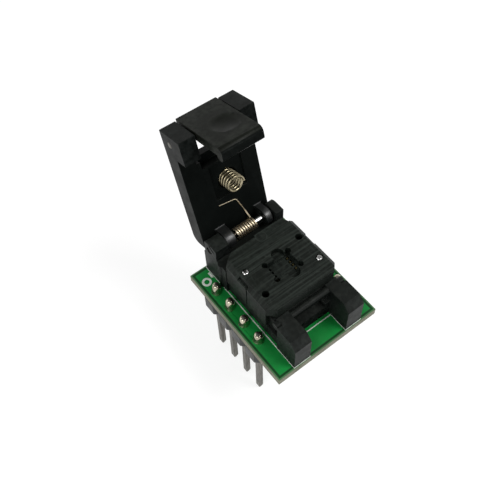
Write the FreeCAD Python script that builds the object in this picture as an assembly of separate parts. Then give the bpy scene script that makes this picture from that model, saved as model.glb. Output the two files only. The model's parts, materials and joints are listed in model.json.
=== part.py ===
"""Programming adapter for a small leadless chip: a clamshell test socket on a board with two pin rows.

The part stands on its pin tips with the lid open. X runs along the front edge, Y towards the hinge
and Z up. The origin is the centre of the pin field, level with the pin tips. Millimetres.
"""
import FreeCAD
import Part
import math
import os

Vec = FreeCAD.Vector

# Header pins and their plastic strips
pin_pitch = 2.54
pins_per_row = 4
pin_width = 0.64
pin_free_length = 9.9
pin_point_length = 0.7
pin_point_width = 0.3
pin_stub = 1.35
strip_height = 2.0
strip_width = 2.5
strip_corner = 0.5

# Circuit board
row_margin = 1.22
board_length = 16.2
board_thickness = 1.0
board_centre_y = -0.78
pin_hole_radius = 0.5
tail_hole_radius = 0.3
peg_hole_radius = 0.55

# Solder joints
solder_foot_radius = 0.68
solder_neck_radius = 0.42
solder_height = 0.85

# Socket base, heights above the board
base_half_width = 4.65
base_row_gap = 0.93
base_front_setback = 0.16
base_deck = 3.7
base_shelf = 4.2
foot_height = 4.4
foot_width = 2.15
foot_length = 2.92
foot_neck_inset = 0.65
foot_chamfer_drop = 0.9
foot_chamfer_run = 0.85
cross_wall_step = 0.13
cross_wall_height = 2.4
ledge_width = 0.25
ledge_gap = 0.1
peg_radius = 0.5
peg_length = 0.85
peg_inset = 1.0
pillar_radius = 0.4
pillar_inset = 0.2
pillar_setback = 1.05

# Latch bar between the feet
bar_setback = 0.47
bar_height = 3.95
bar_radius = 0.45
bar_end_inset = 0.1
hook_pocket_side_gap = 0.2
hook_pocket_run = 0.93
hook_pocket_floor = 1.75
hook_pocket_top = 3.4

# Hinge, height above the board
hinge_height = 4.7
hinge_pin_radius = 0.45
hinge_clearance = 0.05
hinge_pin_inset = 0.1
hinge_pin_point = 0.08
knuckle_radius = 1.0
ear_radius = 1.18
ear_front_run = 1.33
ear_back_run = 0.82
ear_left_width = 1.8
ear_right_width = 1.0
ear_slot_width = 0.25
ear_slot_length = 1.0
ear_slot_depth = 0.2
ear_slot_setback = 0.46
ear_slot_height = 5.5
ear_slot_tilt = 32
heel_depth = 0.22
heel_setback = 0.28
heel_drop = 1.1
well_front_run = 0.3
well_floor_gap = 0.35
knuckle_gap = 0.1
left_knuckle_width = 1.25
right_knuckle_width = 0.95

# Guide plate that floats over the base
plate_side_inset = 0.0
plate_bar_gap = 0.55
plate_front_gap = 0.1
plate_ear_gap = 1.0
plate_tongue = 0.25
plate_tongue_start_x = -0.1
plate_notch_width = 0.85
plate_notch_depth = 0.82
plate_top = 5.9
plate_thickness = 1.5
plate_back_thickness = 1.05
plate_front_corner = 0.9
plate_back_corner = 1.3
plate_back_corner_depth = 0.85
plate_edge_chamfer = 0.5
plate_travel = 0.5
skirt_thickness = 0.45
skirt_depth = 3.7
skirt_front_inset = 0.9
skirt_back_inset = 0.82
skirt_clearance = 0.08
side_notch_offset = 0.3
side_notch_length = 1.45
side_notch_depth = 0.35
side_notch_height = 0.7
slit_width = 0.16
slit_depth = 0.3

# Chip seat in the guide plate
chip_setback = 0.12
seat_half_width = 1.55
seat_half_length = 1.05
seat_depth = 0.9
seat_relief_radius = 0.34
finger_slot_x = 0.4
finger_slot_radius = 0.72
finger_slot_reach = 2.05
finger_slot_depth = 0.7
lead_pitch = 0.5
leads_per_side = 4
lead_slot_width = 0.3
lead_slot_land = 0.05

# Guide pins and plate springs
guide_pin_radius = 0.35
guide_pin_side_inset = 1.05
guide_pin_front_inset = 2.19
guide_pin_back_inset = 2.88
guide_pin_clearance = 0.06
guide_pin_proud = 0.04
guide_pin_seat = 1.2
guide_pin_point = 0.1
plate_spring_side_inset = 1.7
plate_spring_front_inset = 1.13
plate_spring_back_inset = 1.82
plate_spring_radius = 0.5
plate_spring_wire = 0.14
plate_spring_turns = 3
plate_spring_pocket = 1.0
plate_spring_clearance = 0.15

# Straight steps that draw one turn of a spring
coil_steps = 10

# Contacts
contact_width = 0.2
contact_thickness = 0.12
contact_row_x = 1.3
contact_tail_x = 1.9
contact_tail_step = 0.9
contact_tail_length = 0.75
contact_lip = 0.16
contact_lip_drop = 0.3
contact_crown = 0.08
contact_crown_drop = 0.06
contact_neck = 0.1
contact_neck_drop = 0.12
contact_arm_rise = 0.1
contact_bow = 0.7
contact_bow_drop = 0.5
contact_waist_height = 2.2
contact_knee_height = 1.4
contact_slot_inner_x = 1.0
contact_slot_outer_x = 3.05

# Lid, measured from the hinge axis with the lid closed
lid_side_inset = 0.15
lid_length = 14.2
lid_heel = 0.7
lid_rim = 1.25
lid_top = 3.5
lid_post_length = 2.8
lid_post_rim = -0.25
lid_notch_length = 4.3
lid_post_width = 1.9
lid_open_angle = 104.8
lid_corner = 1.0
knuckle_web_reach = 1.0
latch_recess_run = 0.9
latch_recess_side_inset = 0.4
latch_recess_floor = 2.4
mechanism_x = 0.5
pusher_half_width = 2.0
pusher_behind = 1.8
pusher_ahead = 2.6
pusher_floor = 1.5
spring_bore_radius = 1.2
spring_bore_floor = 2.57

# Pusher spring in the lid
lid_spring_radius = 0.92
lid_spring_wire = 0.27
lid_spring_turns = 6
lid_spring_tip = -0.28
lid_spring_setback = 0.7

# Torsion spring on the hinge pin
coil_start_gap = 0.37
coil_end_play = 1.3
coil_radius = 0.72
coil_wire = 0.2
coil_pitch = 0.3
leg_reach = 3.3
leg_lean = 0.98
leg_rise = 0.38
leg_return = 2.2
leg_return_reach = 0.36
foot_leg_length = 1.2

# Latch, measured from the hinge axis with the lid closed
latch_side_gap = 0.17
latch_thickness = 1.0
latch_proud = 0.1
latch_top = 3.6
latch_tip = -4.4
latch_pivot_setback = 1.2
latch_pivot_rise = 2.0
latch_barrel_radius = 0.72
latch_pin_radius = 0.35
latch_pin_clearance = 0.05
flange_length = 1.5
flange_thickness = 0.9
flange_top_radius = 0.6
flange_edge_radius = 0.4
hook_side_inset = 0.78
hook_length = 1.6
hook_top = -1.95
hook_bottom = -2.75
dent_radius = 1.7
dent_depth = 0.22
dent_centre = -0.95

# Heights and places that follow
row_spacing = 2 * (base_half_width + base_row_gap)
board_width = row_spacing + 2 * row_margin
board_bottom = pin_free_length + strip_height
board_top = board_bottom + board_thickness
hinge_z = board_top + hinge_height
board_front_y = board_centre_y - board_length / 2
board_back_y = board_centre_y + board_length / 2
base_front_y = board_front_y + base_front_setback
foot_back_y = base_front_y + foot_length
cross_wall_y = foot_back_y - cross_wall_step
bar_y = foot_back_y + bar_setback
heel_back_y = board_back_y - heel_setback
ear_back_y = heel_back_y - heel_depth
hinge_y = ear_back_y - ear_back_run
ear_front_y = hinge_y - ear_front_run
plate_front_y = bar_y + plate_bar_gap
plate_back_y = ear_front_y - plate_ear_gap
guide_pin_front_y = plate_front_y + guide_pin_front_inset
guide_pin_back_y = plate_back_y - guide_pin_back_inset
plate_half_width = base_half_width - plate_side_inset
foot_inner_x = base_half_width - foot_width
ear_left_inner_x = ear_left_width - base_half_width
ear_right_inner_x = base_half_width - ear_right_width
left_knuckle_inner_x = ear_left_inner_x + knuckle_gap + left_knuckle_width
right_knuckle_inner_x = ear_right_inner_x - knuckle_gap - right_knuckle_width
coil_start_x = left_knuckle_inner_x + coil_start_gap
coil_turns = int((right_knuckle_inner_x - left_knuckle_inner_x - coil_end_play) / coil_pitch)
guide_pin_x = plate_half_width - guide_pin_side_inset
plate_spring_x = plate_half_width - plate_spring_side_inset
skirt_front_y = plate_front_y + skirt_front_inset
skirt_back_y = plate_back_y - skirt_back_inset
chip_y = board_centre_y - chip_setback
side_notch_front_y = chip_y + side_notch_offset
side_notch_back_y = side_notch_front_y + side_notch_length
lid_half_width = base_half_width - lid_side_inset
lid_notch_half_width = lid_half_width - lid_post_width
latch_recess_half_width = lid_notch_half_width - latch_recess_side_inset
lid_post_start = lid_length - lid_post_length
lid_notch_start = lid_length - lid_notch_length
latch_recess_start = lid_notch_start - latch_recess_run
lid_spring_place = hinge_y - chip_y - lid_spring_setback
pusher_start = lid_spring_place - pusher_behind
pusher_end = lid_spring_place + pusher_ahead
latch_half_width = lid_notch_half_width - latch_side_gap
hook_half_width = latch_half_width - hook_side_inset
hook_pocket_half_width = hook_half_width + hook_pocket_side_gap
latch_outer = lid_length + latch_proud
latch_inner = latch_outer - latch_thickness
latch_pivot = lid_length - latch_pivot_setback
flange_reach = latch_outer - flange_length
hook_reach = latch_inner - hook_length
plate_top_z = board_top + plate_top
plate_bottom_z = plate_top_z - plate_thickness
deck_z = board_top + base_deck
seat_z = plate_top_z - seat_depth
core_front_y = plate_front_y - plate_front_gap
rows = (-row_spacing / 2, row_spacing / 2)
pin_ys = [(k - (pins_per_row - 1) / 2) * pin_pitch for k in range(pins_per_row)]
lead_ys = [chip_y + (k - (leads_per_side - 1) / 2) * lead_pitch for k in range(leads_per_side)]


def box(x0, x1, y0, y1, z0, z1):
    """Box between two corners."""
    return Part.makeBox(x1 - x0, y1 - y0, z1 - z0, Vec(x0, y0, z0))


def rod_x(x0, x1, y, z, radius):
    """Round bar along X."""
    return Part.makeCylinder(radius, x1 - x0, Vec(x0, y, z), Vec(1, 0, 0))


def rod_z(x, y, z0, z1, radius):
    """Round bar along Z."""
    return Part.makeCylinder(radius, z1 - z0, Vec(x, y, z0), Vec(0, 0, 1))


def profile_x(points, x0, x1):
    """Side profile of (y, z) points, extruded along X."""
    corners = [Vec(x0, y, z) for y, z in points]
    face = Part.Face(Part.makePolygon(corners + corners[:1]))
    return face.extrude(Vec(x1 - x0, 0, 0))


def plan_z(points, z0, z1):
    """Plan outline of (x, y) points, extruded along Z."""
    corners = [Vec(x, y, z0) for x, y in points]
    face = Part.Face(Part.makePolygon(corners + corners[:1]))
    return face.extrude(Vec(0, 0, z1 - z0))


def fuse(shapes):
    """One solid from touching shapes, with the seams between flat faces removed."""
    return shapes[0].multiFuse(shapes[1:]).removeSplitter()


def edges_along_x(shape, y, z):
    """Edges of a shape whose middle lies at the given y and z."""
    near = 0.01
    return [edge for edge in shape.Edges
            if abs(edge.CenterOfMass.y - y) < near and abs(edge.CenterOfMass.z - z) < near]


def lid_y(along):
    """Y of a point of the closed lid, from its distance along the lid."""
    return hinge_y - along


def lid_z(rise):
    """Z of a point of the closed lid, from its rise above the hinge axis."""
    return hinge_z + rise


def lid_box(x0, x1, along0, along1, rise0, rise1):
    """Box placed along the closed lid."""
    return box(x0, x1, lid_y(along1), lid_y(along0), lid_z(rise0), lid_z(rise1))


def swing_open(shape):
    """Turn a shape of the closed lid to the open position."""
    shape.rotate(Vec(0, hinge_y, hinge_z), Vec(1, 0, 0), -lid_open_angle)
    return shape


def unit(vector):
    """Direction of a vector."""
    return Vec(vector).normalize()


def wire_along(points, wire):
    """Six-sided wire along a route, its sections square to the route."""
    sections = []
    side = Vec(0.3, 0.5, 0.8)
    for k, point in enumerate(points):
        ahead = points[min(k + 1, len(points) - 1)]
        behind = points[max(k - 1, 0)]
        run = unit(ahead - behind)
        side = unit(side - run * side.dot(run))
        across = run.cross(side)
        ring = []
        for step in range(6):
            turn = math.radians(60 * step)
            ring.append(point + (side * math.cos(turn) + across * math.sin(turn)) * wire / 2)
        sections.append(Part.makePolygon(ring + ring[:1]))
    return Part.makeLoft(sections, True, True)


def coil_spring(radius, wire, turns, length):
    """Helical spring along Z, centred on the origin's axis, from end to end of its wire."""
    steps = turns * coil_steps
    points = []
    for k in range(steps + 1):
        turn = 2 * math.pi * k / coil_steps
        rise = wire / 2 + (length - wire) * k / steps
        points.append(Vec(radius * math.cos(turn), radius * math.sin(turn), rise))
    return wire_along(points, wire)


def ribbon(points, thickness, y, width):
    """Flat strip whose centre line runs through (x, z) points, width along Y."""
    left = []
    right = []
    for k, (x, z) in enumerate(points):
        before = points[max(k - 1, 0)]
        after = points[min(k + 1, len(points) - 1)]
        ahead = Vec(after[0] - x, 0, after[1] - z)
        behind = Vec(x - before[0], 0, z - before[1])
        if ahead.Length:
            ahead.normalize()
        if behind.Length:
            behind.normalize()
        run = ahead + behind
        run.normalize()
        side = Vec(-run.z, 0, run.x)
        edge = ahead if ahead.Length else behind
        mitre = thickness / 2 / max(abs(edge.x * run.x + edge.z * run.z), 0.5)
        left.append(Vec(x, y - width / 2, z) + side * mitre)
        right.append(Vec(x, y - width / 2, z) - side * mitre)
    outline = left + right[::-1]
    face = Part.Face(Part.makePolygon(outline + outline[:1]))
    return face.extrude(Vec(0, width, 0))


def circuit_board():
    """Board drilled for the header pins, the contact tails and the two locating pegs."""
    board = box(-board_width / 2, board_width / 2, board_front_y, board_front_y + board_length,
                board_bottom, board_top)
    holes = [rod_z(x, y, board_bottom, board_top, pin_hole_radius) for x in rows for y in pin_ys]
    for side in (-1, 1):
        for k, y in enumerate(lead_ys):
            holes.append(rod_z(side * tail_x(k), y, board_bottom, board_top, tail_hole_radius))
    for x, y in peg_places():
        holes.append(rod_z(x, y, board_bottom, board_top, peg_hole_radius))
    return board.cut(holes)


def tail_x(k):
    """Distance of a contact's tail from the middle: every second tail stands further out."""
    return contact_tail_x + (k % 2) * contact_tail_step


def peg_places():
    """Where the base's two locating pegs pass into the board."""
    left = (-base_half_width + peg_inset, ear_front_y)
    right = (base_half_width - peg_inset, foot_back_y)
    return (left, right)


def header_strip(x):
    """Plastic strip of one row: an eight-sided block for each pin, joined at their flats."""
    half = strip_width / 2
    end = pin_pitch / 2
    cut = strip_corner
    blocks = []
    for y in pin_ys:
        outline = [(x - half, y - end + cut), (x - half + cut, y - end), (x + half - cut, y - end),
                   (x + half, y - end + cut), (x + half, y + end - cut), (x + half - cut, y + end),
                   (x - half + cut, y + end), (x - half, y + end - cut)]
        blocks.append(plan_z(outline, pin_free_length, board_bottom))
    strip = fuse(blocks)
    w = pin_width / 2
    holes = [box(x - w, x + w, y - w, y + w, pin_free_length, board_bottom) for y in pin_ys]
    return strip.cut(holes)


def square_wire(x, y, z, width):
    """Square outline, level, about a point."""
    w = width / 2
    corners = [Vec(x - w, y - w, z), Vec(x + w, y - w, z), Vec(x + w, y + w, z), Vec(x - w, y + w, z)]
    return Part.makePolygon(corners + corners[:1])


def header_pin(x, y):
    """Square pin with a tapered point at each end."""
    top = board_top + pin_stub
    stations = [(0, pin_point_width), (pin_point_length, pin_width)]
    stations += [(top - pin_point_length / 2, pin_width), (top, pin_point_width)]
    wires = [square_wire(x, y, z, width) for z, width in stations]
    return Part.makeLoft(wires, True, True)


def solder_joint(x, y):
    """Solder cone round one pin, on the board's upper face."""
    cone = Part.makeCone(solder_foot_radius, solder_neck_radius, solder_height, Vec(x, y, board_top))
    w = pin_width / 2
    return cone.cut(box(x - w, x + w, y - w, y + w, board_top, board_top + pin_stub))


def base_foot(side):
    """Front foot with a sloped front edge, and the narrower neck behind it that carries the bar."""
    top = board_top + foot_height
    slope = [(base_front_y, board_top), (base_front_y, top - foot_chamfer_drop),
             (base_front_y + foot_chamfer_run, top), (foot_back_y, top), (foot_back_y, board_top)]
    outer = sorted((side * foot_inner_x, side * base_half_width))
    inner = sorted((side * foot_inner_x, side * (base_half_width - foot_neck_inset)))
    foot = profile_x(slope, outer[0], outer[1])
    neck = box(inner[0], inner[1], foot_back_y, core_front_y, board_top, top)
    return foot.fuse(neck)


def base_ear(x0, x1):
    """Hinge ear: straight front, flat top, and a back rounded about the hinge axis."""
    top = hinge_z + ear_radius
    block = box(x0, x1, ear_front_y, hinge_y, board_top, top)
    back = box(x0, x1, hinge_y, ear_back_y, board_top, top)
    round_back = back.common(fuse([rod_x(x0, x1, hinge_y, hinge_z, ear_radius),
                                   box(x0, x1, hinge_y, ear_back_y, board_top, hinge_z)]))
    return fuse([block, round_back])


def socket_base():
    """The lower moulding: well for the guide plate, feet, latch bar, hinge ears and contact slots."""
    skirt_inner = plate_half_width - skirt_thickness
    core_half = skirt_inner - skirt_clearance
    ledge_top = plate_top_z - skirt_depth - plate_travel - ledge_gap
    rear_y = skirt_back_y + slit_width
    heel_top = hinge_z - heel_drop
    core = box(-core_half, core_half, core_front_y, rear_y, board_top, deck_z)
    ledge_half = core_half + ledge_width
    ledge = box(-ledge_half, ledge_half, foot_back_y, rear_y, board_top, ledge_top)
    cross_wall = box(-foot_inner_x, foot_inner_x, cross_wall_y, core_front_y, board_top,
                     board_top + cross_wall_height)
    rear = box(-base_half_width, base_half_width, rear_y, ear_back_y, board_top, board_top + base_shelf)
    heel = box(-base_half_width, base_half_width, ear_back_y, heel_back_y, board_top, heel_top)
    bar_end = base_half_width - bar_end_inset
    bar = rod_x(-bar_end, bar_end, bar_y, board_top + bar_height, bar_radius)
    parts = [core, ledge, cross_wall, rear, heel, bar, base_foot(-1), base_foot(1)]
    parts.append(base_ear(-base_half_width, ear_left_inner_x))
    parts.append(base_ear(ear_right_inner_x, base_half_width))
    for side in (-1, 1):
        parts.append(rod_z(side * (base_half_width - pillar_inset), rear_y + pillar_setback, board_top,
                           board_top + base_shelf, pillar_radius))
    for x, y in peg_places():
        parts.append(rod_z(x, y, board_top - peg_length, board_top, peg_radius))
    body = fuse(parts)
    well = box(ear_left_inner_x, ear_right_inner_x, ear_front_y - well_front_run, ear_back_y,
               hinge_z - knuckle_radius - well_floor_gap, hinge_z + ear_radius)
    hook_pocket = box(-hook_pocket_half_width, hook_pocket_half_width, cross_wall_y,
                      bar_y + hook_pocket_run, board_top + hook_pocket_floor, board_top + hook_pocket_top)
    pin_bore = rod_x(-base_half_width, base_half_width, hinge_y, hinge_z, hinge_pin_radius)
    tools = [well, hook_pocket, pin_bore]
    tools += [ear_slot(-1), ear_slot(1)]
    for side in (-1, 1):
        x0, x1 = sorted((side * contact_slot_inner_x, side * contact_slot_outer_x))
        for y in lead_ys:
            tools.append(box(x0, x1, y - lead_slot_width / 2, y + lead_slot_width / 2, board_top, deck_z))
    for x, y in guide_pin_places():
        tools.append(rod_z(x, y, board_top + guide_pin_seat, deck_z, guide_pin_radius))
    for x, y in plate_spring_places():
        pocket_radius = plate_spring_radius + plate_spring_clearance
        tools.append(rod_z(x, y, deck_z - plate_spring_pocket, deck_z, pocket_radius))
    return body.cut(tools)


def ear_slot(side):
    """Slanted slot in the outer face of a hinge ear."""
    x0, x1 = sorted((side * base_half_width, side * (base_half_width - ear_slot_depth)))
    y = hinge_y - ear_slot_setback
    z = board_top + ear_slot_height
    slot = box(x0, x1, y - ear_slot_length / 2, y + ear_slot_length / 2,
               z - ear_slot_width / 2, z + ear_slot_width / 2)
    slot.rotate(Vec(0, y, z), Vec(1, 0, 0), ear_slot_tilt)
    return slot


def guide_pin_places():
    """The two guide pins, on one diagonal of the chip seat."""
    return ((-guide_pin_x, guide_pin_back_y), (guide_pin_x, guide_pin_front_y))


def dark_hole_places():
    """The two open holes, on the other diagonal."""
    return ((guide_pin_x, guide_pin_back_y), (-guide_pin_x, guide_pin_front_y))


def plate_spring_places():
    """The four plate springs, one near each corner of the guide plate."""
    ys = (plate_front_y + plate_spring_front_inset, plate_back_y - plate_spring_back_inset)
    return [(side * plate_spring_x, y) for side in (-1, 1) for y in ys]


def guide_plate():
    """Floating plate: cropped corners, back tongue, two skirts, the chip seat and its slots."""
    w = plate_half_width
    c = plate_front_corner
    b = plate_back_corner
    d = plate_back_corner_depth
    tongue_y = plate_back_y + plate_tongue
    notch_x = w - plate_notch_width
    notch_y = tongue_y - plate_notch_depth
    outline = [(-w + c, plate_front_y), (w - c, plate_front_y), (w, plate_front_y + c), (w, notch_y),
               (notch_x, notch_y), (notch_x, tongue_y), (plate_tongue_start_x, tongue_y),
               (plate_tongue_start_x, plate_back_y), (-w + b, plate_back_y), (-w, plate_back_y - d),
               (-w, plate_front_y + c)]
    slab = plan_z(outline, plate_bottom_z, plate_top_z)
    under = box(-w, w, skirt_back_y, tongue_y, plate_bottom_z, plate_top_z - plate_back_thickness)
    skirts = []
    for side in (-1, 1):
        x0, x1 = sorted((side * (w - skirt_thickness), side * w))
        skirts.append(box(x0, x1, skirt_front_y, skirt_back_y, plate_top_z - skirt_depth, plate_bottom_z))
    plate = fuse([slab.cut(under)] + skirts)
    tools = []
    e = plate_edge_chamfer
    for side in (-1, 1):
        edge = [(side * w, plate_top_z - e), (side * w, plate_top_z), (side * (w - e), plate_top_z)]
        corners = [Vec(x, plate_front_y, z) for x, z in edge]
        face = Part.Face(Part.makePolygon(corners + corners[:1]))
        tools.append(face.extrude(Vec(0, tongue_y - plate_front_y, 0)))
        x0, x1 = sorted((side * (w - side_notch_depth), side * w))
        tools.append(box(x0, x1, side_notch_front_y, side_notch_back_y,
                         plate_top_z - side_notch_height, plate_top_z))
        x0, x1 = sorted((side * (w - slit_depth), side * w))
        tools.append(box(x0, x1, side_notch_front_y - slit_width, side_notch_front_y,
                         plate_top_z - skirt_depth, plate_top_z))
    seat = box(-seat_half_width, seat_half_width, chip_y - seat_half_length, chip_y + seat_half_length,
               seat_z, plate_top_z)
    tools.append(seat)
    slot_z = plate_top_z - finger_slot_depth
    run = finger_slot_reach - finger_slot_radius
    tools.append(box(finger_slot_x - finger_slot_radius, finger_slot_x + finger_slot_radius,
                     chip_y - run, chip_y + run, slot_z, plate_top_z))
    for side in (-1, 1):
        tools.append(rod_z(finger_slot_x, chip_y + side * run, slot_z, plate_top_z, finger_slot_radius))
    for sx in (-1, 1):
        for sy in (-1, 1):
            tools.append(rod_z(sx * seat_half_width, chip_y + sy * seat_half_length, seat_z, plate_top_z,
                               seat_relief_radius))
        x0, x1 = sorted((sx * contact_slot_inner_x, sx * (seat_half_width - lead_slot_land)))
        for y in lead_ys:
            tools.append(box(x0, x1, y - lead_slot_width / 2, y + lead_slot_width / 2,
                             plate_bottom_z, seat_z))
    for x, y in guide_pin_places() + dark_hole_places():
        tools.append(rod_z(x, y, plate_bottom_z, plate_top_z, guide_pin_radius + guide_pin_clearance))
    return plate.cut(tools)


def guide_pin(place):
    """Steel guide pin, rounded at the top, pressed into the base."""
    x, y = place
    pin = rod_z(x, y, board_top + guide_pin_seat, plate_top_z + guide_pin_proud, guide_pin_radius)
    top = [edge for edge in pin.Edges if edge.BoundBox.ZMin > plate_top_z]
    return pin.makeChamfer(guide_pin_point, top)


def plate_spring(place):
    """Coil spring between its pocket in the base and the underside of the guide plate."""
    x, y = place
    bottom = deck_z - plate_spring_pocket
    length = plate_bottom_z - bottom
    spring = coil_spring(plate_spring_radius, plate_spring_wire, plate_spring_turns, length)
    spring.translate(Vec(x, y, bottom))
    return spring


def contact(side, y, tail):
    """Stamped contact: hooked tip, bowed spring arm and a straight tail through the board."""
    tip = seat_z - contact_thickness / 2
    row = contact_row_x
    path = [(row - contact_lip, tip - contact_lip_drop), (row - contact_crown, tip - contact_crown_drop),
            (row, tip), (row + contact_neck, tip - contact_neck_drop),
            (row + contact_neck, deck_z + contact_arm_rise), (row + contact_bow, deck_z - contact_bow_drop),
            (row + contact_neck, board_top + contact_waist_height),
            (tail, board_top + contact_knee_height), (tail, board_bottom - contact_tail_length)]
    points = [(side * x, z) for x, z in path]
    return ribbon(points, contact_thickness, y, contact_width)


def hinge_pin():
    """Steel pin through both ears and the lid's knuckles."""
    end = base_half_width - hinge_pin_inset
    pin = rod_x(-end, end, hinge_y, hinge_z, hinge_pin_radius)
    return pin.makeChamfer(hinge_pin_point, [edge for edge in pin.Edges if edge.Closed])


def torsion_spring():
    """Coil round the hinge pin, with a bent leg against the lid and a short leg on the base."""
    lean = math.radians(lid_open_angle)
    along = Vec(0, -math.cos(lean), math.sin(lean))
    out = Vec(0, math.sin(lean), math.cos(lean))
    first = -math.pi / 2
    last = math.atan2(out.z, out.y) + 2 * math.pi * coil_turns
    steps = coil_turns * coil_steps
    points = [Vec(coil_start_x, hinge_y - foot_leg_length, hinge_z - coil_radius)]
    for k in range(steps + 1):
        turn = first + (last - first) * k / steps
        x = coil_start_x + coil_pitch * (turn - first) / (2 * math.pi)
        y = hinge_y + coil_radius * math.cos(turn)
        z = hinge_z + coil_radius * math.sin(turn)
        points.append(Vec(x, y, z))
    bend = points[-1] + along * leg_reach + out * leg_rise - Vec(leg_lean, 0, 0)
    end = bend + along * leg_return_reach - Vec(leg_return, 0, 0)
    corner = coil_wire
    before = bend + unit(points[-1] - bend) * corner
    after = bend + unit(end - bend) * corner
    points += [before, bend + ((before + after) * 0.5 - bend) * 0.4, after, end]
    return wire_along(points, coil_wire)


def lid():
    """Clamshell lid: end posts for the latch, knuckles, and recesses in its underside."""
    w = lid_half_width
    block = lid_box(-w, w, -lid_heel, lid_length, lid_rim, lid_top)
    posts = lid_box(-w, w, lid_post_start, lid_length, lid_post_rim, lid_rim)
    body = fuse([block, posts])
    body = body.makeFillet(lid_corner, edges_along_x(body, lid_y(-lid_heel), lid_z(lid_top)))
    notch = lid_box(-lid_notch_half_width, lid_notch_half_width, lid_notch_start, lid_length,
                    lid_post_rim, lid_top)
    latch_recess = lid_box(-latch_recess_half_width, latch_recess_half_width, latch_recess_start,
                           lid_notch_start, lid_rim, latch_recess_floor)
    pusher = lid_box(mechanism_x - pusher_half_width, mechanism_x + pusher_half_width,
                     pusher_start, pusher_end, lid_rim, pusher_floor)
    spring_bore = rod_z(mechanism_x, lid_y(lid_spring_place), lid_z(lid_rim), lid_z(spring_bore_floor),
                        spring_bore_radius)
    body = body.cut([notch, latch_recess, pusher, spring_bore])
    knuckles = []
    left = ear_left_inner_x + knuckle_gap
    right = ear_right_inner_x - knuckle_gap
    for x0, x1 in ((left, left_knuckle_inner_x), (right_knuckle_inner_x, right)):
        barrel = rod_x(x0, x1, hinge_y, hinge_z, knuckle_radius)
        web = lid_box(x0, x1, -lid_heel, knuckle_web_reach, 0, lid_rim)
        knuckles += [barrel, web]
    body = fuse([body] + knuckles)
    bore = rod_x(left, right, hinge_y, hinge_z, hinge_pin_radius + hinge_clearance)
    pin_hole = rod_x(-w, w, lid_y(latch_pivot), lid_z(latch_pivot_rise), latch_pin_radius)
    return swing_open(body.cut([bore, pin_hole]))


def lid_spring():
    """Coil spring of the pusher, seated in the lid and standing out of its recess."""
    length = spring_bore_floor - lid_spring_tip
    spring = coil_spring(lid_spring_radius, lid_spring_wire, lid_spring_turns, length)
    spring.translate(Vec(mechanism_x, lid_y(lid_spring_place), lid_z(lid_spring_tip)))
    return swing_open(spring)


def latch():
    """Latch: flat tab with a finger dent and a turned-in flange, a pivot barrel and the hook."""
    w = latch_half_width
    plate = lid_box(-w, w, latch_inner, latch_outer, latch_tip, latch_top)
    flange = lid_box(-w, w, flange_reach, latch_outer, latch_tip, latch_tip + flange_thickness)
    tab = fuse([plate, flange])
    tab = tab.makeFillet(flange_top_radius, edges_along_x(tab, lid_y(latch_outer), lid_z(latch_tip)))
    for rise in (latch_tip, latch_tip + flange_thickness):
        tab = tab.makeFillet(flange_edge_radius, edges_along_x(tab, lid_y(flange_reach), lid_z(rise)))
    barrel = rod_x(-w, w, lid_y(latch_pivot), lid_z(latch_pivot_rise), latch_barrel_radius)
    web = lid_box(-w, w, latch_pivot, latch_inner, latch_pivot_rise - latch_barrel_radius,
                  latch_pivot_rise + latch_barrel_radius)
    slope = (hook_top - hook_bottom) / 2
    root_y = lid_y(latch_inner)
    reach_y = lid_y(hook_reach)
    outline = [(root_y, lid_z(hook_bottom)), (reach_y - slope, lid_z(hook_bottom)),
               (reach_y, lid_z(hook_bottom + slope)), (reach_y, lid_z(hook_top)), (root_y, lid_z(hook_top))]
    hook = profile_x(outline, -hook_half_width, hook_half_width)
    body = fuse([tab, barrel, web, hook])
    bore_radius = latch_pin_radius + latch_pin_clearance
    bore = rod_x(-w, w, lid_y(latch_pivot), lid_z(latch_pivot_rise), bore_radius)
    ball = (dent_radius ** 2 + dent_depth ** 2) / (2 * dent_depth)
    dent_y = lid_y(latch_outer - dent_depth + ball)
    dent = Part.makeSphere(ball, Vec(mechanism_x, dent_y, lid_z(dent_centre)))
    return swing_open(body.cut([bore, dent]))


def latch_pin():
    """Steel pin through the lid's posts and the latch barrel."""
    w = lid_half_width
    return swing_open(rod_x(-w, w, lid_y(latch_pivot), lid_z(latch_pivot_rise), latch_pin_radius))


def build():
    """Every node by name."""
    nodes = {
        "circuit_board": circuit_board(),
        "left_header_strip": header_strip(rows[0]),
        "right_header_strip": header_strip(rows[1]),
        "solder_joints": Part.makeCompound([solder_joint(x, y) for x in rows for y in pin_ys]),
        "socket_base": socket_base(),
        "guide_plate": guide_plate(),
        "hinge_pin": hinge_pin(),
        "torsion_spring": torsion_spring(),
        "lid": lid(),
        "lid_spring": lid_spring(),
        "latch": latch(),
        "latch_pin": latch_pin(),
    }
    for k, (x, y) in enumerate([(x, y) for x in rows for y in pin_ys], 1):
        nodes[f"header_pin_{k}"] = header_pin(x, y)
    for name, place in zip(("left", "right"), guide_pin_places()):
        nodes[f"guide_pin_{name}"] = guide_pin(place)
    for k, place in enumerate(plate_spring_places(), 1):
        nodes[f"plate_spring_{k}"] = plate_spring(place)
    for side in (-1, 1):
        for k, y in enumerate(lead_ys):
            number = k + 1 if side < 0 else k + 1 + leads_per_side
            nodes[f"contact_{number}"] = contact(side, y, tail_x(k))
    return nodes


os.makedirs("parts", exist_ok=True)
for name, shape in build().items():
    shape.exportStep(f"parts/{name}.step")
    print(name, "valid" if shape.isValid() else "INVALID", len(shape.Solids), round(shape.Volume, 3))
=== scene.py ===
"""Looks of a programming adapter: a clamshell test socket, soldered on a small board with two pin rows."""

import json
import logging
import math
from collections.abc import Callable
from dataclasses import dataclass
from enum import Enum

import bmesh
import bpy
from mathutils import Euler, Matrix, Vector


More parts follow.
